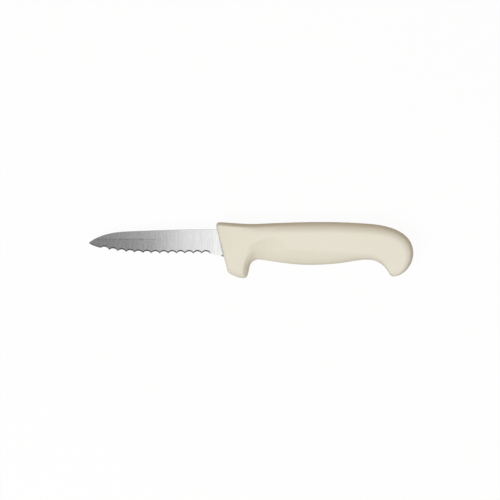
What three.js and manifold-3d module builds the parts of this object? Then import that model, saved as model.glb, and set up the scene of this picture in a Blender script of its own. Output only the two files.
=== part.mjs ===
// A paring knife with a scalloped edge, lying on its side: a stamped steel blade whose tang is hidden in
// a plastic handle that is moulded round it. Millimetres. X runs from the point to the butt, Y from the
// cutting edge to the spine, Z through the thickness. The origin is under the middle of the knife.

import * as THREE from 'three';
import { LoftGeometry } from 'three/addons/geometries/LoftGeometry.js';
import { mergeVertices } from 'three/addons/utils/BufferGeometryUtils.js';
import Module from 'manifold-3d';

const wasm = await Module();
wasm.setup();

// Driving dimensions
const OVERALL_LENGTH = 210;
const HANDLE_THICKNESS = 17;
const BLADE_THICKNESS = 1.5;
const FIT_GAP = 0.3;

const POINT_X = -OVERALL_LENGTH / 2;
const HALF_BLADE = BLADE_THICKNESS / 2;
const HALF_HANDLE = HANDLE_THICKNESS / 2;
const MID_Z = HALF_HANDLE;

// Blade outline: a blunt round point, a spine that droops to it, and a heel that runs into the handle
const POINT_RADIUS = 1.1;
const POINT_CENTRE = new THREE.Vector2(POINT_X + POINT_RADIUS, 4.75);
const POINT_SPINE_ANGLE = THREE.MathUtils.degToRad(117);
const POINT_EDGE_ANGLE = THREE.MathUtils.degToRad(251.5);
const POINT_BEND = [[-90, 11.5], [-98, 9.6]];
const SPINE_START = [-22, 13.3];
const SPINE_BEND = [[-38, 13.95], [-60, 13.1]];
const SPINE_DROOP = [-82, 11.95];
const FIRST_TOOTH = [-97.3, 1.5];
const EDGE_BEND = [[-90, -0.7], [-76, -2]];
const EDGE_BELLY = [-59, -2.2];
const HEEL_START = [-26, -2.2];
const HEEL_BEND = [-23.5, -2.3];
const HEEL_CORNER = [-17.5, -4.5];

// Tang, inside the handle: a shoulder, a strap with a round end, and holes that the plastic fills
const SHOULDER_X = -11;
const SHOULDER_TOP = 12.9;
const SHOULDER_BOTTOM = -6;
const TANG_END_X = 62;
const TANG_MID_Y = 5.3;
const TANG_RADIUS = 4.8;
const TANG_HOLE_RADIUS = 2.4;
const TANG_HOLES_X = [2, 24, 46];

// Grinding: both flanks taper below the grind line, and one side has the scallops and their bevel
const GRIND_LINE_Y = 7;
const GRIND_FOOT_Y = -4;
const GRIND_END_X = -24.5;
const EDGE_Y = -2.3;
const HALF_EDGE = 0.25;
const SCALLOP_COUNT = 13;
const SCALLOP_PITCH = 5.45;
const SCALLOP_DEPTH = 1.35;
const SCALLOP_RADIUS = SCALLOP_PITCH ** 2 / (8 * SCALLOP_DEPTH) + SCALLOP_DEPTH / 2;
const BEVEL_WIDTH = 0.9;
const CUTTER_SIZE = 5;
const OVERRUN = 1;

// Handle: it swells from the collar to the grip, its guard narrows to the foot, and its rim is rounded
const COLLAR_HALF = 7.2;
const BUTT_HALF = 7.8;
const SWELL_START_X = -23;
const SWELL_END_X = 6;
const GUARD_NARROWING = 0.22;
const GUARD_NARROWS_FROM = 0.45;
const GUARD_STATIONS = [1, 2.2];
const RIM_RADIUS = 2.4;
const COLLAR_LENGTH = 13.4;
const MOUTH_LENGTH = 8;

// A round takes at most these shares of a section's height, so that some flat is left between the two
const BACK_ROUND_SHARE = 0.44;
const BELLY_ROUND_SHARE = 0.52;

// Steps along curves, round the scallops' wheel and in the handle's skin
const CURVE_STEPS = 16;
const EDGE_STEPS = 60;
const WHEEL_STEPS = 48;
const RIM_STEPS = 4;
const ZONE_STEPS = 8;
const ROUND_STEPS = 7;
const FLAT_STEPS = 3;

const easeInOut = (t) => t * t * (3 - 2 * t);
const easeOut = (t) => 1 - (1 - t) ** 3;

// The handle's outline, zone by zone from the front face to the tip of the hook. Each zone has one curve
// of the back edge and one of the belly edge, as two control points and an end point. backRound and
// bellyRound are how far the rounded edges reach down and up the section at the end of the zone.
const HANDLE_START = { back: [-23.45, 18.25], belly: [-15.2, -14.4], backRound: 2.6, bellyRound: 2.2 };
const HANDLE_ZONES = [
  { // collar, with the underside of the guard
    back: [[-18.6, 18.2], [-14.2, 17.75], [-9.7, 17.45]],
    belly: [[-12.2, -16.2], [-8, -18.2], [-4.5, -18.2]],
    backRound: 3.7, bellyRound: 3, bellyEase: easeInOut,
  },
  { // rear of the guard
    back: [[-7.2, 17.25], [-4.5, 17], [-1.9, 16.93]],
    belly: [[-2.4, -18.2], [-1.7, -14.8], [-1, -11]],
    backRound: 3.9, bellyRound: 13, bellyEase: easeOut,
  },
  { // hollow for the first finger
    back: [[0.6, 16.85], [3.2, 16.83], [5.8, 16.95]],
    belly: [[-0.3, -7.7], [2, -6.33], [4.85, -6.33]],
    backRound: 4.3, bellyRound: 11.7, bellyEase: easeInOut,
  },
  { // front of the grip
    back: [[12.8, 17.3], [28, 18.12], [40.8, 18.2]],
    belly: [[9, -6.35], [23, -9.75], [39.5, -9.7]],
    backRound: 10.5, bellyRound: 10.6, bellyEase: easeInOut,
  },
  { // rear of the grip
    back: [[53.6, 18.28], [67, 17.9], [78.3, 16.9]],
    belly: [[56, -9.65], [66, -6.4], [74.4, -6.4]],
    backRound: 10, bellyRound: 7.1, bellyEase: easeInOut,
  },
  { // butt
    back: [[94.8, 15.6], [105, 9.7], [105, -1.9]],
    belly: [[80.3, -6.4], [85.3, -8.8], [88.4, -13.4]],
    backRound: 8.6, bellyRound: 5.4, bellyEase: easeInOut,
  },
  { // hook, closing to a rounded tip
    back: [[105, -10.6], [98, -17.1], [91.9, -17.1]],
    belly: [[89.4, -14.9], [90.3, -17], [91.9, -17.1]],
    backRound: 8.6, bellyRound: 5.4, bellyEase: easeInOut,
  },
];

// Turns a closed geometry into a solid that can be joined and cut.
function toSolid(geometry) {
  const bare = new THREE.BufferGeometry();
  bare.setAttribute('position', geometry.attributes.position);
  bare.setIndex(geometry.index);
  const merged = mergeVertices(bare);
  const corners = merged.index.array;
  const triVerts = [];
  for (let i = 0; i < corners.length; i += 3) {
    const [a, b, c] = corners.slice(i, i + 3);
    if (a !== b && b !== c && c !== a) {
      triVerts.push(a, b, c);
    }
  }
  return new wasm.Manifold(new wasm.Mesh({
    numProp: 3,
    vertProperties: merged.attributes.position.array,
    triVerts: Uint32Array.from(triVerts),
  }));
}

function toGeometry(solid) {
  const mesh = solid.getMesh();
  const geometry = new THREE.BufferGeometry();
  geometry.setAttribute('position', new THREE.BufferAttribute(mesh.vertProperties, 3));
  geometry.setIndex(new THREE.BufferAttribute(mesh.triVerts, 1));
  geometry.computeVertexNormals();
  return geometry;
}

// A plate of the given outline and thickness, centred on the knife's middle plane.
function middlePlate(outline, thickness) {
  const plate = new THREE.ExtrudeGeometry(outline, {
    depth: thickness, bevelEnabled: false, curveSegments: CURVE_STEPS,
  });
  return plate.translate(0, 0, MID_Z - thickness / 2);
}

// A place on the round of the blade's point.
function onPoint(angle) {
  const reach = new THREE.Vector2(POINT_RADIUS, 0).add(POINT_CENTRE);
  return reach.rotateAround(POINT_CENTRE, angle);
}

// Continues an outline from the heel round the tang to the spine, grown by a gap on every side.
function traceTang(outline, gap) {
  outline.lineTo(SHOULDER_X + gap, SHOULDER_BOTTOM - gap);
  outline.lineTo(SHOULDER_X + gap, TANG_MID_Y - TANG_RADIUS - gap);
  const endCentreX = TANG_END_X - TANG_RADIUS;
  outline.absarc(endCentreX, TANG_MID_Y, TANG_RADIUS + gap, -Math.PI / 2, Math.PI / 2, false);
  outline.lineTo(SHOULDER_X + gap, TANG_MID_Y + TANG_RADIUS + gap);
  outline.lineTo(SHOULDER_X + gap, SHOULDER_TOP + gap);
  for (const x of TANG_HOLES_X) {
    outline.holes.push(new THREE.Path().absarc(x, TANG_MID_Y, TANG_HOLE_RADIUS - gap, 0, 2 * Math.PI, true));
  }
}

// The cutting edge before it is scalloped, from the first tooth to the heel.
function edgeCurve() {
  const edge = new THREE.Path();
  edge.moveTo(...FIRST_TOOTH);
  edge.bezierCurveTo(...EDGE_BEND.flat(), ...EDGE_BELLY);
  edge.lineTo(...HEEL_START);
  return edge;
}

function blankOutline() {
  const outline = new THREE.Shape();
  outline.absarc(...POINT_CENTRE, POINT_RADIUS, POINT_SPINE_ANGLE, POINT_EDGE_ANGLE, false);
  outline.lineTo(...FIRST_TOOTH);
  outline.curves.push(...edgeCurve().curves);
  outline.currentPoint.set(...HEEL_START);
  outline.quadraticCurveTo(...HEEL_BEND, ...HEEL_CORNER);
  traceTang(outline, 0);
  outline.lineTo(...SPINE_START);
  outline.bezierCurveTo(...SPINE_BEND.flat(), ...SPINE_DROOP);
  outline.bezierCurveTo(...POINT_BEND.flat(), ...onPoint(POINT_SPINE_ANGLE));
  return outline;
}

// Half the blade's thickness at a height, once the flanks are ground.
function halfThicknessAt(y) {
  return THREE.MathUtils.mapLinear(Math.min(y, GRIND_LINE_Y), EDGE_Y, GRIND_LINE_Y, HALF_EDGE, HALF_BLADE);
}

// What the wheel takes off one flank: a wedge along the blade, above the upper or below the lower side.
function flankWedge(side) {
  const clear = HALF_BLADE + OVERRUN;
  const section = new THREE.Shape();
  section.moveTo(GRIND_LINE_Y, side * HALF_BLADE);
  section.lineTo(GRIND_LINE_Y, side * clear);
  section.lineTo(GRIND_FOOT_Y, side * clear);
  section.lineTo(GRIND_FOOT_Y, side * halfThicknessAt(GRIND_FOOT_Y));
  const startX = POINT_X - OVERRUN;
  const wedge = new THREE.ExtrudeGeometry(section, { depth: GRIND_END_X - startX, bevelEnabled: false });
  const alongX = new THREE.Matrix4().makeBasis(
    new THREE.Vector3(0, 1, 0), new THREE.Vector3(0, 0, 1), new THREE.Vector3(1, 0, 0));
  return wedge.applyMatrix4(alongX).translate(startX, 0, MID_Z);
}

// Leans a cutter so that it bites BEVEL_WIDTH further at the upper side than at the lower side, where its
// own outline is the edge. It is placed at a point of the edge and turned along it.
function placeCutter(cutter, x, y, angle) {
  const half = halfThicknessAt(y);
  const lean = new THREE.Matrix4().makeShear(0, 0, 0, 0, 0, BEVEL_WIDTH / (2 * half));
  return cutter.applyMatrix4(lean).rotateZ(angle).translate(x, y, MID_Z - half);
}

// The wheel that grinds one scallop between two teeth.
function scallopWheel(start, end) {
  const wheel = new THREE.CylinderGeometry(SCALLOP_RADIUS, SCALLOP_RADIUS, CUTTER_SIZE, WHEEL_STEPS);
  wheel.rotateX(Math.PI / 2).translate(0, SCALLOP_DEPTH - SCALLOP_RADIUS, 0);
  const angle = Math.atan2(end.y - start.y, end.x - start.x);
  return placeCutter(wheel, (start.x + end.x) / 2, (start.y + end.y) / 2, angle);
}

// The plain bevel along the straight stretch at the point.
function pointBevel() {
  const tooth = new THREE.Vector2(...FIRST_TOOTH);
  const start = onPoint(POINT_EDGE_ANGLE);
  const length = start.distanceTo(tooth);
  const stone = new THREE.BoxGeometry(length + 2 * POINT_RADIUS, CUTTER_SIZE, CUTTER_SIZE);
  stone.translate(-POINT_RADIUS, -CUTTER_SIZE / 2, 0);
  const angle = Math.atan2(tooth.y - start.y, tooth.x - start.x);
  return placeCutter(stone, (start.x + tooth.x) / 2, (start.y + tooth.y) / 2, angle);
}

// Points of the edge at equal steps in X, one for each tooth.
function teeth() {
  const line = edgeCurve().getPoints(EDGE_STEPS);
  const found = [];
  for (let i = 0; i <= SCALLOP_COUNT; i += 1) {
    const x = FIRST_TOOTH[0] + i * SCALLOP_PITCH;
    const next = Math.max(1, line.findIndex((point) => point.x >= x));
    const after = line[next];
    const before = line[next - 1];
    const y = THREE.MathUtils.mapLinear(x, before.x, after.x, before.y, after.y);
    found.push(new THREE.Vector2(x, y));
  }
  return found;
}

function bladeGeometry() {
  let blade = toSolid(middlePlate(blankOutline(), BLADE_THICKNESS));
  blade = blade.subtract(toSolid(flankWedge(1))).subtract(toSolid(flankWedge(-1)));
  blade = blade.subtract(toSolid(pointBevel()));
  const tips = teeth();
  for (let i = 0; i < SCALLOP_COUNT; i += 1) {
    blade = blade.subtract(toSolid(scallopWheel(tips[i], tips[i + 1])));
  }
  return toGeometry(blade);
}

const curveOf = (start, points) => new THREE.CubicBezierCurve(
  ...[start, ...points].map((point) => new THREE.Vector2(...point)));

// Half the handle's thickness, for a section whose middle is at x, at the share t of its zone.
function halfWidth(x, zoneIndex, t) {
  const swell = THREE.MathUtils.smoothstep(x, SWELL_START_X, SWELL_END_X);
  const body = THREE.MathUtils.lerp(COLLAR_HALF, HALF_HANDLE, swell);
  const last = HANDLE_ZONES.length - 1;
  if (zoneIndex < last - 1) {
    return body;
  }
  if (zoneIndex === last - 1) {
    return THREE.MathUtils.lerp(HALF_HANDLE, BUTT_HALF, easeInOut(t));
  }
  return BUTT_HALF * Math.sqrt(1 - t * t);
}

// One section of the handle: a closed ring of points from the back edge down one side to the belly edge
// and up the other. station counts zones from the front face, and inset draws the ring in all round.
function handleSection(station, inset) {
  const zoneIndex = Math.min(Math.floor(station), HANDLE_ZONES.length - 1);
  const t = station - zoneIndex;
  const zone = HANDLE_ZONES[zoneIndex];
  const before = HANDLE_ZONES[zoneIndex - 1];
  const backStart = before ? before.back[2] : HANDLE_START.back;
  const bellyStart = before ? before.belly[2] : HANDLE_START.belly;
  const from = before ?? HANDLE_START;
  const back = curveOf(backStart, zone.back).getPoint(t);
  const belly = curveOf(bellyStart, zone.belly).getPoint(t);
  const height = back.distanceTo(belly);
  const down = belly.clone().sub(back).normalize();
  const backRound = Math.min(
    THREE.MathUtils.lerp(from.backRound, zone.backRound, easeInOut(t)), BACK_ROUND_SHARE * height);
  const bellyRound = Math.min(
    THREE.MathUtils.lerp(from.bellyRound, zone.bellyRound, zone.bellyEase(t)), BELLY_ROUND_SHARE * height);
  const width = halfWidth((back.x + belly.x) / 2, zoneIndex, t) - inset;
  const guard = GUARD_NARROWING * (1 - THREE.MathUtils.smoothstep(station, ...GUARD_STATIONS));

  const side = [];
  for (let i = 0; i <= ROUND_STEPS; i += 1) {
    const turn = i / ROUND_STEPS * Math.PI / 2;
    side.push([backRound * (1 - Math.cos(turn)), Math.sin(turn)]);
  }
  for (let i = 1; i < FLAT_STEPS; i += 1) {
    side.push([THREE.MathUtils.lerp(backRound, height - bellyRound, i / FLAT_STEPS), 1]);
  }
  for (let i = 0; i <= ROUND_STEPS; i += 1) {
    const turn = i / ROUND_STEPS * Math.PI / 2;
    side.push([height - bellyRound * (1 - Math.sin(turn)), Math.cos(turn)]);
  }

  const shrink = height > 0 ? (height - 2 * inset) / height : 1;
  const place = ([drop, share], hand) => {
    const narrow = 1 - guard * THREE.MathUtils.smoothstep(drop, GUARD_NARROWS_FROM * height, height);
    const point = down.clone().multiplyScalar(inset + drop * shrink).add(back);
    return new THREE.Vector3(point.x, point.y, MID_Z + hand * share * narrow * width);
  };
  const nearSide = side.map((spot) => place(spot, 1));
  const farSide = side.slice(1, -1).reverse().map((spot) => place(spot, -1));
  return [...nearSide, ...farSide];
}

function handleGeometry() {
  const sections = [];
  for (let i = 0; i < RIM_STEPS; i += 1) {
    const turn = i / RIM_STEPS * Math.PI / 2;
    const setback = RIM_RADIUS * (1 - Math.cos(turn));
    sections.push(handleSection(setback / COLLAR_LENGTH, RIM_RADIUS * (1 - Math.sin(turn))));
  }
  const rimEnd = RIM_RADIUS / COLLAR_LENGTH;
  const steps = ZONE_STEPS * HANDLE_ZONES.length;
  for (let i = 0; i <= steps; i += 1) {
    sections.push(handleSection(Math.max(rimEnd, i / ZONE_STEPS), 0));
  }
  const skin = toSolid(new LoftGeometry(sections, { capStart: true }));

  // The room for the tang, open at the front face, with the pegs left standing in it
  const mouthX = SPINE_START[0] - MOUTH_LENGTH;
  const room = new THREE.Shape();
  room.moveTo(mouthX, SPINE_START[1] + 2 * FIT_GAP);
  room.lineTo(mouthX, HEEL_START[1] - FIT_GAP);
  room.lineTo(HEEL_CORNER[0], HEEL_CORNER[1] - FIT_GAP);
  traceTang(room, FIT_GAP);
  return toGeometry(skin.subtract(toSolid(middlePlate(room, BLADE_THICKNESS + 2 * FIT_GAP))));
}

const steel = new THREE.MeshStandardMaterial({ color: 0xb4b5b6, roughness: 0.38, metalness: 1 });
const polypropylene = new THREE.MeshStandardMaterial({ color: 0xe5dfce, roughness: 0.5, metalness: 0 });

function piece(name, geometry, material) {
  const mesh = new THREE.Mesh(geometry, material);
  mesh.name = name;
  return mesh;
}

const knife = new THREE.Group();
knife.add(piece('blade', bladeGeometry(), steel));
knife.add(piece('handle', handleGeometry(), polypropylene));

export default knife;
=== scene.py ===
from collections import namedtuple
from math import asin, atan2, cos, pi, radians, sin

import bmesh
import bpy
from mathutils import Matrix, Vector
from mathutils.kdtree import KDTree


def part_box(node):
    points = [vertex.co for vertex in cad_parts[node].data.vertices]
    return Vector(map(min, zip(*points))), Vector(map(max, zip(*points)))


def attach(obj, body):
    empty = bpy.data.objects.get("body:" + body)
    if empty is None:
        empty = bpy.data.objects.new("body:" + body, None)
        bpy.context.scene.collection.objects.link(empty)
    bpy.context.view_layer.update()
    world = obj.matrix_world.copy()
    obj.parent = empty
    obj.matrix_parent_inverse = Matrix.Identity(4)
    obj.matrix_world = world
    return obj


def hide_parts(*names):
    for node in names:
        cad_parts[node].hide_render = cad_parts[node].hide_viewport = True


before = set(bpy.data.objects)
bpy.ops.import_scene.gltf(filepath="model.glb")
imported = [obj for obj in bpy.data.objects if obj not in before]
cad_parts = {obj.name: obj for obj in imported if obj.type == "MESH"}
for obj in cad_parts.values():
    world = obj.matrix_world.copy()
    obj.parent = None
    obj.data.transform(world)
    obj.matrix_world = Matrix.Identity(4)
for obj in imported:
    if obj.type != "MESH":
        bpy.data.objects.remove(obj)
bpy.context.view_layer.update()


# Camera
# The knife lies on its side and is seen from straight above, from far enough off to look flat. The
# picture takes in a square of this width at the height of the blade.
MM = 0.001
PICTURE_WIDTH = 323.65 * MM
PICTURE_CENTRE = Vector((-0.65, 0.03, 0)) * MM
LENS = 300
SENSOR = 36

scene = bpy.context.scene
scene.view_settings.view_transform = "Standard"
blade_low, blade_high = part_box("blade")
MID_Z = (blade_low.z + blade_high.z) / 2

camera_data = bpy.data.cameras.new("camera")
camera_data.lens = LENS
camera_data.sensor_width = SENSOR
camera = bpy.data.objects.new("camera", camera_data)
camera.location = PICTURE_CENTRE + Vector((0, 0, MID_Z + PICTURE_WIDTH * LENS / SENSOR))
scene.collection.objects.link(camera)
scene.camera = camera


# Studio
# A white sheet lies under the knife and throws a dim, warm light back up. A key lamp stands beyond the
# point, on the edge's side. A softbox hangs above and ends over the blade, so that the steel darkens
# towards the point, and the wall on the spine's side throws a warm light on the matt plastic.
FLOOR_HALF = 4000 * MM
FLOOR_DROP = 0.1 * MM
FLOOR_WHITE = (0.9, 0.9, 0.9, 1)
FLOOR_DIM = (0.54, 0.42, 0.25, 1)
FLOOR_MIRRORED = (0.62, 0.62, 0.62, 1)
FLOOR_GLOW = 0.95
FLOOR_GLOSS_GLOW = 0.12
ROOM_COLOUR = (1, 1, 1, 1)
ROOM_CEILING = 0.52
ROOM_WALLS = 0.14
WARM_WALL = (1.1, 0.9, 0.62, 1)
WARM_WALL_SPAN = (0, 0.6)
KEY_PLACE = Vector((-527, -527, 1065)) * MM
KEY_AIM = Vector((0, 0, 0))
KEY_SIZE = (450 * MM, 450 * MM)
KEY_POWER = 8.6
SOFTBOX_PLACE = Vector((121, 12, 650)) * MM
SOFTBOX_SIZE = (374 * MM, 320 * MM)
SOFTBOX_POWER = 0.58

# The sockets of a Mix node that are for colours.
MIX_FIRST = 6
MIX_SECOND = 7
MIX_RESULT = 2


class Wire:
    """A socket of a node tree. Sums of wires and numbers add Math nodes, and node() adds any other."""

    def __init__(self, tree, socket=None):
        self.tree = tree
        self.socket = socket

    def node(self, kind, settings=None, inputs=None, output=0):
        made = self.tree.nodes.new(kind)
        for name, value in (settings or {}).items():
            setattr(made, name, value)
        for name, value in (inputs or {}).items():
            if isinstance(value, Wire):
                self.tree.links.new(value.socket, made.inputs[name])
            else:
                made.inputs[name].default_value = value
        return Wire(self.tree, made.outputs[output] if made.outputs else None)

    def math(self, operation, first, second):
        return self.node("ShaderNodeMath", {"operation": operation}, {0: first, 1: second})

    def mix(self, share, first, second):
        colours = {0: share, MIX_FIRST: first, MIX_SECOND: second}
        return self.node("ShaderNodeMix", {"data_type": "RGBA"}, colours, MIX_RESULT)

    def band(self, start, end):
        """How far the wire has gone from start to end, from 0 to 1 with soft ends."""
        limits = {"Value": self, "From Min": start, "From Max": end}
        return self.node("ShaderNodeMapRange", {"interpolation_type": "SMOOTHSTEP"}, limits)

    def __add__(self, other):
        return self.math("ADD", self, other)

    def __radd__(self, other):
        return self.math("ADD", other, self)

    def __sub__(self, other):
        return self.math("SUBTRACT", self, other)

    def __rsub__(self, other):
        return self.math("SUBTRACT", other, self)

    def __mul__(self, other):
        return self.math("MULTIPLY", self, other)

    def __rmul__(self, other):
        return self.math("MULTIPLY", other, self)


def new_material(name):
    material = bpy.data.materials.new(name)
    material.use_nodes = True
    material.node_tree.nodes.clear()
    return material, Wire(material.node_tree)


def add_object(name, bm):
    mesh = bpy.data.meshes.new(name)
    bm.to_mesh(mesh)
    bm.free()
    made = bpy.data.objects.new(name, mesh)
    scene.collection.objects.link(made)
    return made


def add_lamp(name, place, aim, size, power):
    lamp_data = bpy.data.lights.new(name, "AREA")
    lamp_data.shape = "RECTANGLE"
    lamp_data.size, lamp_data.size_y = size
    lamp_data.energy = power
    lamp = bpy.data.objects.new(name, lamp_data)
    lamp.location = place
    lamp.rotation_euler = Vector((0, 0, -1)).rotation_difference(aim - place).to_euler()
    lamp.visible_camera = False
    scene.collection.objects.link(lamp)
    return lamp


bm = bmesh.new()
bmesh.ops.create_grid(bm, x_segments=1, y_segments=1, size=FLOOR_HALF)
bmesh.ops.translate(bm, vec=(0, 0, -FLOOR_DROP), verts=bm.verts)
floor = add_object("floor", bm)

white_sheet, wire = new_material("white_sheet")
seen_directly = wire.node("ShaderNodeLightPath", output="Is Camera Ray")
seen_in_gloss = wire.node("ShaderNodeLightPath", output="Is Glossy Ray")
seen_through = wire.node("ShaderNodeLightPath", output="Is Transmission Ray")
mirrored = seen_in_gloss + seen_through
shade = wire.mix(mirrored, FLOOR_DIM, FLOOR_MIRRORED)
lit = wire.node("ShaderNodeBsdfDiffuse", inputs={"Color": wire.mix(seen_directly, shade, FLOOR_WHITE)})
glow = wire.node("ShaderNodeEmission", inputs={"Strength": 1})
glowing = FLOOR_GLOW * seen_directly + FLOOR_GLOSS_GLOW * mirrored
surface = wire.node("ShaderNodeMixShader", inputs={0: glowing, 1: lit, 2: glow})
wire.node("ShaderNodeOutputMaterial", inputs={"Surface": surface})
floor.data.materials.append(white_sheet)

world = bpy.data.worlds.new("studio")
world.use_nodes = True
world.node_tree.nodes.clear()
wire = Wire(world.node_tree)
direction = wire.node("ShaderNodeTexCoord", output="Generated")
upward = wire.node("ShaderNodeSeparateXYZ", inputs={"Vector": direction}, output="Z")
spineward = wire.node("ShaderNodeSeparateXYZ", inputs={"Vector": direction}, output="Y")
seen_by_matt = wire.node("ShaderNodeLightPath", output="Is Diffuse Ray")
warmth = spineward.band(*WARM_WALL_SPAN) * seen_by_matt
background = wire.node("ShaderNodeBackground", inputs={
    "Color": wire.mix(warmth, ROOM_COLOUR, WARM_WALL),
    "Strength": ROOM_WALLS + (ROOM_CEILING - ROOM_WALLS) * upward,
})
wire.node("ShaderNodeOutputWorld", inputs={"Surface": background})
scene.world = world

key_lamp = add_lamp("key_lamp", KEY_PLACE, KEY_AIM, KEY_SIZE, KEY_POWER)
key_lamp.visible_glossy = False
below_softbox = Vector((SOFTBOX_PLACE.x, SOFTBOX_PLACE.y, 0))
add_lamp("softbox", SOFTBOX_PLACE, below_softbox, SOFTBOX_SIZE, SOFTBOX_POWER)


# Blade
# A stamped blank of stainless strip with a crowned spine, and with the tang that the handle holds. Both
# flanks are ground to a taper and brushed across, and thirteen scallops with a bevel are ground into the
# edge, on the upper side only.
BLADE_HALF = 0.75 * MM
POINT_RADIUS = 0.65 * MM
POINT_CENTRE = Vector((-104.15, 4.6)) * MM
POINT_SPINE_ANGLE = radians(126)
POINT_EDGE_ANGLE = radians(251.5)
POINT_BEND = [Vector((-98.2, 9.75)) * MM, Vector((-90, 11.5)) * MM]
SPINE_DROOP = Vector((-82, 11.95)) * MM
SPINE_BEND = [Vector((-60, 12.95)) * MM, Vector((-38, 13.6)) * MM]
SPINE_END = Vector((-22, 13.3)) * MM
SHOULDER_TOP = Vector((-11, 12.9)) * MM
POINT_BELLY = Vector((-101.2, 2.35)) * MM
FIRST_TOOTH = Vector((-97.3, 1.4)) * MM
TEETH_BEND = [Vector((-90, -0.95)) * MM, Vector((-76, -1.95)) * MM]
TEETH_BELLY = Vector((-59, -2.2)) * MM
HEEL_START = Vector((-26, -2.2)) * MM
HEEL_BEND = Vector((-23.5, -2.3)) * MM
HEEL_CORNER = Vector((-17.5, -4.5)) * MM
SHOULDER_BOTTOM = Vector((-11, -6)) * MM

GRIND_LINE_Y = 7 * MM
GRIND_LINE_SHARE = 0.8
EDGE_HALF = 0.25 * MM
GRIND_STOP_X = [-25 * MM, -24.98 * MM]
POINT_THINNING = 0.5
POINT_THINNING_LENGTH = 14 * MM
CROWN_DEPTH = 0.16 * MM
CROWN_DEPTH_SHARE = 0.1
CROWN_HALF_SHARE = 0.58

SCALLOPS = 13
SCALLOP_PITCH = 5.45 * MM
SCALLOP_DEPTH = 1.35 * MM
SCALLOP_RADIUS = SCALLOP_PITCH ** 2 / (8 * SCALLOP_DEPTH) + SCALLOP_DEPTH / 2
SCALLOP_STEPS = 16
BEVEL_WIDTH = 0.9 * MM
BEVEL_SHARE = 0.5
BEVEL_FADE = 2.2 * MM
HEEL_EASE = 0.06 * MM
HEEL_FACET = 0.95 * MM
HEEL_FACET_X = [-19.5 * MM, -19 * MM]

TANG_START_X = -14 * MM
TANG_END_X = 62 * MM
TANG_MID_Y = 5.3 * MM
TANG_RADIUS = 4.8 * MM
TANG_HALF = 0.7 * MM
TANG_HOLES_X = [2 * MM, 24 * MM, 46 * MM]
TANG_HOLE_RADIUS = 2.4 * MM
ROUND_STEPS = 24
CURVE_STEPS = 40
MERGE = 0.001 * MM
BLADE_CREASE = radians(2.2)


def ease_in_out(t):
    return t * t * (3 - 2 * t)


def smoothstep(value, start, end):
    return ease_in_out(min(max((value - start) / (end - start), 0), 1))


def lerp(a, b, t):
    return a + (b - a) * t


def arc(centre, radius, start, end, steps):
    angles = [lerp(start, end, step / steps) for step in range(steps + 1)]
    return [centre + radius * Vector((cos(angle), sin(angle))) for angle in angles]


def bezier(points, t):
    while len(points) > 1:
        points = [a.lerp(b, t) for a, b in zip(points, points[1:])]
    return points[0]


def curve(points, steps):
    return [bezier(points, step / steps) for step in range(steps + 1)]


def height_at(line, x):
    for a, b in zip(line, line[1:]):
        if x <= b.x:
            return lerp(a.y, b.y, max(x - a.x, 0) / (b.x - a.x))
    return line[-1].y


def skin(rings):
    """A sheet of quads through the points of a row of rings, closed where it meets itself."""
    columns = len(rings) - 1
    rows = len(rings[0]) - 1
    bm = bmesh.new()
    sheet = bmesh.ops.create_grid(bm, x_segments=columns, y_segments=rows, size=1)
    for vert in sheet["verts"]:
        column = round((vert.co.x + 1) / 2 * columns)
        row = round((vert.co.y + 1) / 2 * rows)
        vert.co = rings[column][row]
    bmesh.ops.remove_doubles(bm, verts=bm.verts, dist=MERGE)
    bmesh.ops.holes_fill(bm, edges=bm.edges, sides=0)
    bmesh.ops.recalc_face_normals(bm, faces=bm.faces)
    return bm


def plate(outline, hole_radius, half):
    """A flat plate on the knife's middle plane, with the tang's holes at a given radius."""
    bm = bmesh.new()
    rims = [outline]
    for x in TANG_HOLES_X:
        rims.append(arc(Vector((x, TANG_MID_Y)), hole_radius, 0, 2 * pi, ROUND_STEPS)[:-1])
    edges = []
    for rim in rims:
        verts = [bm.verts.new((spot.x, spot.y, MID_Z - half)) for spot in rim]
        edges += [bm.edges.new(pair) for pair in zip(verts, verts[1:] + verts[:1])]
    bmesh.ops.triangle_fill(bm, use_beauty=True, edges=edges)
    raised = bmesh.ops.extrude_face_region(bm, geom=bm.faces[:])
    raised_verts = [item for item in raised["geom"] if isinstance(item, bmesh.types.BMVert)]
    bmesh.ops.translate(bm, vec=(0, 0, 2 * half), verts=raised_verts)
    bmesh.ops.recalc_face_normals(bm, faces=bm.faces)
    return bm


def combine(piece, other, operation):
    """Joins or cuts a piece with another object, which is then taken away."""
    boolean = piece.modifiers.new(operation, "BOOLEAN")
    boolean.operation = operation
    boolean.object = other
    boolean.solver = "EXACT"
    depsgraph = bpy.context.evaluated_depsgraph_get()
    result = bpy.data.meshes.new_from_object(piece.evaluated_get(depsgraph))
    piece.modifiers.clear()
    piece.data = result
    bpy.data.objects.remove(other)


spine = arc(POINT_CENTRE, POINT_RADIUS, pi, POINT_SPINE_ANGLE, CURVE_STEPS)
spine += curve([spine[-1], *POINT_BEND, SPINE_DROOP], CURVE_STEPS)[1:]
spine += curve([SPINE_DROOP, *SPINE_BEND, SPINE_END], CURVE_STEPS)[1:]
spine.append(SHOULDER_TOP)

teeth_line = curve([FIRST_TOOTH, *TEETH_BEND, TEETH_BELLY], CURVE_STEPS) + [HEEL_START]
teeth = []
for number in range(SCALLOPS + 1):
    tooth_x = FIRST_TOOTH.x + number * SCALLOP_PITCH
    teeth.append(Vector((tooth_x, height_at(teeth_line, tooth_x))))

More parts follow.
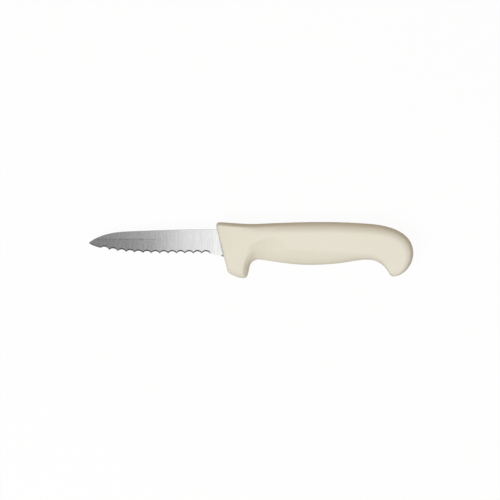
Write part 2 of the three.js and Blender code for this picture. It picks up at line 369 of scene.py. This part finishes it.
edge = arc(POINT_CENTRE, POINT_RADIUS, pi, POINT_EDGE_ANGLE, ROUND_STEPS // 2)
edge += curve([edge[-1], POINT_BELLY, FIRST_TOOTH], ROUND_STEPS // 2)[1:]
for tooth, next_tooth in zip(teeth, teeth[1:]):
    along = (next_tooth - tooth).normalized()
    inward = Vector((-along.y, along.x))
    wheel = (tooth + next_tooth) / 2 + inward * (SCALLOP_DEPTH - SCALLOP_RADIUS)
    middle = atan2(inward.y, inward.x)
    reach = asin((next_tooth - tooth).length / 2 / SCALLOP_RADIUS)
    edge += arc(wheel, SCALLOP_RADIUS, middle + reach, middle - reach, SCALLOP_STEPS)[1:]
edge += curve([teeth[-1], HEEL_BEND, HEEL_CORNER], ROUND_STEPS)[1:]
edge += curve([HEEL_CORNER, SHOULDER_BOTTOM], ROUND_STEPS // 2)[1:]
edge += [Vector((x, height_at(edge, x))) for x in GRIND_STOP_X]
edge.sort(key=lambda spot: spot.x)


def half_thickness(x, y):
    """Half the blade's thickness, tapered down to the teeth and the point, and full where grinding stops."""
    foot = height_at(teeth_line, x)
    share = (min(y, GRIND_LINE_Y) - foot) / (GRIND_LINE_Y - foot)
    ground = lerp(EDGE_HALF, BLADE_HALF, share)
    thinned = lerp(POINT_THINNING, 1, smoothstep(x, blade_low.x, blade_low.x + POINT_THINNING_LENGTH))
    return lerp(ground * thinned, BLADE_HALF, smoothstep(x, *GRIND_STOP_X))


def blade_ring(x, edge_y):
    """A ring round the blade, from the spine down the upper side, round the edge and back up."""
    spine_y = height_at(spine, x)
    depth = spine_y - edge_y
    bevel = BEVEL_WIDTH * smoothstep(x, blade_low.x, blade_low.x + BEVEL_FADE)
    if x > teeth[-1].x:
        opened = smoothstep(x, *HEEL_FACET_X)
        closed = smoothstep(x, HEEL_CORNER.x, HEEL_CORNER.x + HEEL_FACET)
        bevel = lerp(HEEL_EASE, HEEL_FACET, opened - closed)
    crown_y = spine_y - min(CROWN_DEPTH, depth * CROWN_DEPTH_SHARE)
    grind_y = min(GRIND_LINE_Y, edge_y + depth * GRIND_LINE_SHARE)
    bevel_y = edge_y + min(bevel, depth * BEVEL_SHARE)
    places = [
        (spine_y, CROWN_HALF_SHARE),
        (crown_y, 1),
        (grind_y, 1),
        (bevel_y, 1),
        (edge_y, -1),
        (grind_y, -1),
        (crown_y, -1),
        (spine_y, -CROWN_HALF_SHARE),
        (spine_y, CROWN_HALF_SHARE),
    ]
    return [Vector((x, y, MID_Z + side * half_thickness(x, y))) for y, side in places]


blade = add_object("ground_blade", skin([blade_ring(*spot) for spot in edge]))
tang_end = Vector((TANG_END_X - TANG_RADIUS, TANG_MID_Y))
tang_outline = arc(tang_end, TANG_RADIUS, -pi / 2, pi / 2, ROUND_STEPS)
tang_outline.append(Vector((TANG_START_X, TANG_MID_Y + TANG_RADIUS)))
tang_outline.append(Vector((TANG_START_X, TANG_MID_Y - TANG_RADIUS)))
tang = add_object("tang", plate(tang_outline, TANG_HOLE_RADIUS, TANG_HALF))
combine(blade, tang, "UNION")
blade.data.shade_smooth()
blade.data.set_sharp_from_angle(angle=BLADE_CREASE)

STEEL_DARK = (0.3, 0.3, 0.3, 1)
STEEL_BRIGHT = (0.54, 0.54, 0.54, 1)
STEEL_ROUGHNESS = 0.14
STEEL_ROUGHNESS_SPREAD = 0.06
FINE_BRUSH = (1900, 170, 300)
LONG_BRUSH = (520, 26, 100)
LONG_BRUSH_SHARE = 0.3
BRUSH_DETAIL = 3
BRUSH_DEPTH = 0.003 * MM
NOISE_MIDDLE = 0.5
# Painted shade and a painted highlight along the grind line near the point, in the steel's colour.
STREAK_HALF = 0.8 * MM
STREAK_FADE = [-72 * MM, -52 * MM]
STREAK_PAINTED_SHADE = 0.24
STRIP_PAINTED_HIGHLIGHT = 0.22
RICASSO_LIGHT = 0.12
# A painted shadow in the steel's colour, in the corner at the handle's front.
CORNER_PAINTED_SHADOW = 1.1
CORNER_WIDTH = 0.9 * MM
CORNER_SPAN = [10 * MM, -3 * MM]

# The top and the foot of the handle's front face, in mm, where the blade comes out.
FRONT_TOP = (-23.2, 18.15)
FRONT_FOOT = (-15, -14.4)

brushed_steel, wire = new_material("brushed_steel")
place = wire.node("ShaderNodeTexCoord", output="Object")
along = wire.node("ShaderNodeSeparateXYZ", inputs={"Vector": place}, output="X")
across = wire.node("ShaderNodeSeparateXYZ", inputs={"Vector": place}, output="Y")


def brush_marks(scale):
    stretched = wire.node("ShaderNodeMapping", inputs={"Vector": place, "Scale": scale})
    return wire.node("ShaderNodeTexNoise", inputs={"Vector": stretched, "Scale": 1, "Detail": BRUSH_DETAIL})


brushing = brush_marks(FINE_BRUSH) * (1 - LONG_BRUSH_SHARE) + brush_marks(LONG_BRUSH) * LONG_BRUSH_SHARE

# Near the point a painted shade lies along the grind line, under a painted highlight on the strip above it.
ground_up = across.band(GRIND_LINE_Y - STREAK_HALF, GRIND_LINE_Y)
strip = across.band(GRIND_LINE_Y, GRIND_LINE_Y + STREAK_HALF)
near_point = 1 - along.band(*STREAK_FADE)
painted_grind_line_light = (STRIP_PAINTED_HIGHLIGHT * strip - STREAK_PAINTED_SHADE * (ground_up - strip)) * near_point

# Behind the grind's stop the steel is lighter, and a painted shadow darkens it in the corner that it makes
# with the handle's front.
ricasso = along.band(*GRIND_STOP_X)
front_top = Vector(FRONT_TOP) * MM
front_fall = Vector(FRONT_FOOT) * MM - front_top
past_front = along - front_top.x - (across - front_top.y) * (front_fall.x / front_fall.y)
# corner is the painted shadow's mask along the handle's front.
corner = past_front.band(-CORNER_WIDTH, 0) * across.band(*CORNER_SPAN)

# The steel's colour: brush grain and the lighter ricasso, with the painted shade, painted highlight and
# painted corner shadow.
brushing_and_painted_light = brushing + painted_grind_line_light + RICASSO_LIGHT * ricasso - CORNER_PAINTED_SHADOW * corner
relief = wire.node("ShaderNodeBump", inputs={"Strength": 1, "Distance": BRUSH_DEPTH, "Height": brushing})
surface = wire.node("ShaderNodeBsdfPrincipled", inputs={
    "Base Color": wire.mix(brushing_and_painted_light, STEEL_DARK, STEEL_BRIGHT),
    "Metallic": 1,
    "Roughness": STEEL_ROUGHNESS + (brushing - NOISE_MIDDLE) * STEEL_ROUGHNESS_SPREAD,
    "Normal": relief,
})
wire.node("ShaderNodeOutputMaterial", inputs={"Surface": surface})
blade.data.materials.clear()
blade.data.materials.append(brushed_steel)
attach(blade, "root")
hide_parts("blade")


# Handle
# One injection moulding in cream polypropylene, shot round the tang, with the finger guard, the grip and
# the hooked butt in one piece. Plastic pegs fill the tang's holes, and the mould leaves a fine seam.
GRIP_HALF = 8.5 * MM
COLLAR_HALF = 7.2 * MM
BUTT_HALF = 7.8 * MM
HOOK_POWER = 4
SWELL_X = [-23 * MM, 6 * MM]
GUARD_NARROWING = 0.42
GUARD_NARROWS_FROM = 0.4
GUARD_STATIONS = [1, 2.2]
CRISP_REACH = 2.8 * MM
FULL_REACH = 8.3 * MM
FULL_POWER = 2.5
LATE_GROWTH = 1.2
BACK_REACH_SHARE = 0.44
BELLY_REACH_SHARE = 0.52
COLLAR_LENGTH = 13.4 * MM
FRONT_FACE = 0.4 * MM
FRONT_TOP_CORNER = 3.2 * MM
FRONT_LOW_CORNER = 1.6 * MM
FRONT_EDGE_REACH = 2.1 * MM
FRONT_ROLL_REACH = 9 * MM
FRONT_ROLL_SHARE = 0.62
FRONT_ROLL_DEPTH = 3 * MM
SEAM_HALF = 0.12 * MM
SEAM_HEIGHT = 0.05 * MM
SEAM_FADE = 4 * MM
FRONT_STEPS = 10
ZONE_STEPS = 24
EDGE_STEPS = 22
FLAT_STEPS = 24
BELLY_STEPS = 480
CREST_STEPS = 200
ROW_REACH = 8 * MM
FIT_GAP = 0.02 * MM
MOUTH_X = -30 * MM
MOUTH_TOP_Y = 13.6 * MM
HANDLE_CREASE = radians(35)

# The outline in mm, zone by zone from the front face to the tip of the hook. The back edge and the belly
# edge each have two control points and an end point. At the zone's end the back has gone so far from a
# crisp edge to a full round, and the belly's round reaches so far in from the nearest point of its edge,
# crisp where it ends if its power is low.
Zone = namedtuple("Zone", "back belly back_fullness belly_reach belly_power")
FRONT = Zone(
    back=[FRONT_TOP],
    belly=[FRONT_FOOT],
    back_fullness=0, belly_reach=3, belly_power=2)
COLLAR = Zone(
    back=[(-18.6, 18), (-14.2, 17.55), (-9.7, 17.3)],
    belly=[(-12.3, -16.35), (-8, -18.2), (-4.5, -18.15)],
    back_fullness=0.1, belly_reach=3.1, belly_power=1.5)
GUARD_REAR = Zone(
    back=[(-7.2, 17.15), (-4.5, 16.9), (-1.9, 16.85)],
    belly=[(-2.4, -18.15), (-1.7, -14.8), (-1, -11)],
    back_fullness=0.28, belly_reach=4.3, belly_power=1.4)
FINGER_HOLLOW = Zone(
    back=[(0.6, 16.8), (3.2, 16.8), (5.8, 16.95)],
    belly=[(-0.3, -7.6), (2, -6.1), (4.85, -6.05)],
    back_fullness=0.56, belly_reach=7.5, belly_power=1.9)
GRIP_FRONT = Zone(
    back=[(12.8, 17.3), (28, 17.95), (40.8, 18.08)],
    belly=[(9, -6), (23, -9.65), (39.5, -9.55)],
    back_fullness=1, belly_reach=12, belly_power=2.1)
GRIP_REAR = Zone(
    back=[(53.6, 18.2), (67, 17.8), (78.3, 16.75)],
    belly=[(58.2, -9.45), (68.3, -6.1), (74.4, -6.1)],
    back_fullness=1, belly_reach=5.5, belly_power=3.2)
BUTT = Zone(
    back=[(94.4, 15.3), (104.9, 9.2), (105, -1.9)],
    belly=[(80.9, -6.1), (85.6, -8.9), (88.4, -13.4)],
    back_fullness=0.6, belly_reach=0.6, belly_power=2)
HOOK = Zone(
    back=[(105, -10.6), (98, -17.1), (91.9, -17.1)],
    belly=[(89.4, -14.9), (90.3, -17), (91.9, -17.1)],
    back_fullness=0.6, belly_reach=1, belly_power=2)
ZONES = [FRONT, COLLAR, GUARD_REAR, FINGER_HOLLOW, GRIP_FRONT, GRIP_REAR, BUTT, HOOK]
HOOK_ZONE = len(ZONES) - 2
BUTT_ZONE = HOOK_ZONE - 1

# The crest, in mm, sweeps from behind the guard over the finger hollow. Beyond it the side falls away
# towards the belly, at this slope halfway along the crest.
CREST = [(-4.3, -10), (-3.6, 5), (2, 6.2), (22, 10.5)]
CREST_SLOPE = 0.32


def zone_at(station):
    """The number of the zone that a station lies in, and the share of the way through it."""
    zone = min(int(station), HOOK_ZONE)
    return zone, station - zone


def half_width(x, station):
    """Half the handle's thickness for the section at a station, whose middle is at x."""
    zone, t = zone_at(station)
    if zone == HOOK_ZONE:
        return BUTT_HALF * max(1 - t ** HOOK_POWER, 0) ** (1 / HOOK_POWER)
    if zone == BUTT_ZONE:
        return lerp(GRIP_HALF, BUTT_HALF, ease_in_out(t))
    return lerp(COLLAR_HALF, GRIP_HALF, smoothstep(x, *SWELL_X))


def round_share(distance, reach, power=2):
    """How full a rounded edge is: 0 on its rim, 1 where the round ends. A power of 2 is a true round."""
    if reach == 0:
        return 0
    left = 1 - min(distance / reach, 1)
    return (1 - left ** power) ** (1 / power)


def search_tree(line):
    tree = KDTree(len(line))
    for number, spot in enumerate(line):
        tree.insert(spot.to_3d(), number)
    tree.balance()
    return tree


Belly = namedtuple("Belly", "spot reach power")


def belly_at(station):
    """A point on the belly edge, with the reach and the power of the round there."""
    zone, t = zone_at(station)
    before, here = ZONES[zone:zone + 2]
    spot = bezier([Vector(corner) * MM for corner in [before.belly[-1], *here.belly]], t)
    growing = here.belly_reach > before.belly_reach
    share = ease_in_out(t ** LATE_GROWTH if growing else t)
    reach = lerp(before.belly_reach, here.belly_reach, share) * MM
    return Belly(spot, reach, lerp(before.belly_power, here.belly_power, t))


belly_line = [belly_at(step / BELLY_STEPS) for step in range(BELLY_STEPS * (HOOK_ZONE + 1) + 1)]
belly_tree = search_tree([belly.spot for belly in belly_line])
crest_line = curve([Vector(corner) * MM for corner in CREST], CREST_STEPS)
crest_tree = search_tree(crest_line)


def belly_share(place):
    """How full the round of the belly edge is at a place on the side, from the nearest point of the edge."""
    number, distance = belly_tree.find(place.to_3d())[1:]
    return round_share(distance, belly_line[number].reach, belly_line[number].power)


def crest_fall(place):
    """How far the side has fallen at a place beyond the crest, which fades out at both its ends."""
    nearest, number, distance = crest_tree.find(place.to_3d())
    onward = crest_line[min(number + 1, CREST_STEPS)] - crest_line[max(number - 1, 0)]
    if onward.cross(place - nearest.xy) > 0:
        return 0
    t = number / CREST_STEPS
    return CREST_SLOPE * ease_in_out(4 * t * (1 - t)) * distance


def drops(back_reach, belly_reach, height):
    """How far below the back edge the rows of one side lie, close together in the rounds."""
    turns = [step / EDGE_STEPS * pi / 2 for step in range(EDGE_STEPS + 1)]
    rows = [back_reach * (1 - cos(turn)) for turn in turns]
    for step in range(1, FLAT_STEPS):
        rows.append(lerp(back_reach, height - belly_reach, step / FLAT_STEPS))
    return rows + [height - belly_reach * (1 - sin(turn)) for turn in turns]


def handle_ring(station, face=0):
    """One closed ring round the handle. station counts zones from the front, face draws the ring in."""
    zone, t = zone_at(station)
    before, here = ZONES[zone:zone + 2]
    back = bezier([Vector(corner) * MM for corner in [before.back[-1], *here.back]], t)
    belly = belly_at(station)
    height = (belly.spot - back).length
    down = (belly.spot - back).normalized()
    fullness = lerp(before.back_fullness, here.back_fullness, ease_in_out(t))
    crisp_reach = min(CRISP_REACH, BACK_REACH_SHARE * height)
    full_reach = min(FULL_REACH, BACK_REACH_SHARE * height)
    row_reach = min(max(belly.reach, ROW_REACH), BELLY_REACH_SHARE * height)

    setback = station * COLLAR_LENGTH
    front_edge = round_share(setback, FRONT_EDGE_REACH)
    front_roll = round_share(setback, FRONT_ROLL_REACH)
    sunk = FRONT_ROLL_DEPTH * (1 - lerp(front_edge, front_roll, FRONT_ROLL_SHARE))
    top_corner = FRONT_TOP_CORNER * (1 - round_share(setback, FRONT_TOP_CORNER)) + face
    low_corner = FRONT_LOW_CORNER * (1 - round_share(setback, FRONT_LOW_CORNER)) + face
    width = half_width((back.x + belly.spot.x) / 2, station) - sunk - face
    narrowing = GUARD_NARROWING * (1 - smoothstep(station, *GUARD_STATIONS))
    narrows_from = GUARD_NARROWS_FROM * height
    seam = SEAM_HEIGHT * min(height / SEAM_FADE, 1)

    near_side = [(-seam, 0), (0, SEAM_HALF)]
    for drop in drops(full_reach, row_reach, height)[1:-1]:
        place = back + down * drop
        crisp = round_share(drop, crisp_reach)
        full = round_share(drop, full_reach, FULL_POWER)
        share = lerp(crisp, full, fullness) * belly_share(place)
        low = max(drop - narrows_from, 0) / (height - narrows_from) if height else 0
        side = width * (1 - narrowing * low * low) - crest_fall(place)
        near_side.append((drop, max(share * side, SEAM_HALF)))
    near_side += [(height, SEAM_HALF), (height + seam, 0)]
    far_side = [(drop, -side) for drop, side in reversed(near_side[1:-1])]

    ring = []
    for drop, side in near_side + far_side + near_side[:1]:
        spot = back + down * lerp(top_corner, height - low_corner, drop / height) if height else back
        ring.append(Vector((spot.x, spot.y, MID_Z + (side if height else 0))))
    return ring


front_end = FRONT_EDGE_REACH / COLLAR_LENGTH
rings = [handle_ring(0, FRONT_FACE)]
for step in range(FRONT_STEPS):
    rings.append(handle_ring(front_end * (1 - cos(step / FRONT_STEPS * pi / 2))))
rings.append(handle_ring(front_end))
for step in range(int(front_end * ZONE_STEPS) + 1, ZONE_STEPS * HOOK_ZONE):
    rings.append(handle_ring(step / ZONE_STEPS))
for step in range(ZONE_STEPS + 1):
    rings.append(handle_ring(HOOK_ZONE + sin(step / ZONE_STEPS * pi / 2)))

handle = add_object("moulded_handle", skin(rings))
room_outline = [
    Vector((MOUTH_X, MOUTH_TOP_Y)),
    Vector((MOUTH_X, HEEL_START.y)),
    Vector((HEEL_CORNER.x, HEEL_CORNER.y - FIT_GAP)),
    Vector((SHOULDER_BOTTOM.x + FIT_GAP, SHOULDER_BOTTOM.y - FIT_GAP)),
    Vector((SHOULDER_BOTTOM.x + FIT_GAP, TANG_MID_Y - TANG_RADIUS - FIT_GAP)),
    *arc(tang_end, TANG_RADIUS + FIT_GAP, -pi / 2, pi / 2, ROUND_STEPS),
    Vector((SHOULDER_TOP.x + FIT_GAP, TANG_MID_Y + TANG_RADIUS + FIT_GAP)),
    SHOULDER_TOP + Vector((FIT_GAP, FIT_GAP)),
    SPINE_END + Vector((0, FIT_GAP)),
]
tang_room = add_object("tang_room", plate(room_outline, TANG_HOLE_RADIUS - FIT_GAP, BLADE_HALF + FIT_GAP))
combine(handle, tang_room, "DIFFERENCE")
handle.data.shade_smooth()
handle.data.set_sharp_from_angle(angle=HANDLE_CREASE)

CREAM = (0.79, 0.75, 0.635, 1)
CREAM_PALE = (0.81, 0.774, 0.665, 1)
PLASTIC_ROUGHNESS = 0.31
PLASTIC_ROUGHNESS_SPREAD = 0.05
PLASTIC_SPECULAR = 0.85
MOTTLING_SCALE = 90
MOTTLING_DETAIL = 3
SATIN_SCALE = 2600
SATIN_DETAIL = 2
SATIN_DEPTH = 0.004 * MM

polypropylene, wire = new_material("polypropylene")
place = wire.node("ShaderNodeTexCoord", output="Object")
mottling = wire.node("ShaderNodeTexNoise", inputs={
    "Vector": place,
    "Scale": MOTTLING_SCALE,
    "Detail": MOTTLING_DETAIL,
})
satin = wire.node("ShaderNodeTexNoise", inputs={
    "Vector": place,
    "Scale": SATIN_SCALE,
    "Detail": SATIN_DETAIL,
})
relief = wire.node("ShaderNodeBump", inputs={"Strength": 1, "Distance": SATIN_DEPTH, "Height": satin})
surface = wire.node("ShaderNodeBsdfPrincipled", inputs={
    "Base Color": wire.mix(mottling, CREAM, CREAM_PALE),
    "Roughness": PLASTIC_ROUGHNESS + (mottling - NOISE_MIDDLE) * PLASTIC_ROUGHNESS_SPREAD,
    "Specular IOR Level": PLASTIC_SPECULAR,
    "Normal": relief,
})
wire.node("ShaderNodeOutputMaterial", inputs={"Surface": surface})
handle.data.materials.clear()
handle.data.materials.append(polypropylene)
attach(handle, "root")
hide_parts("handle")
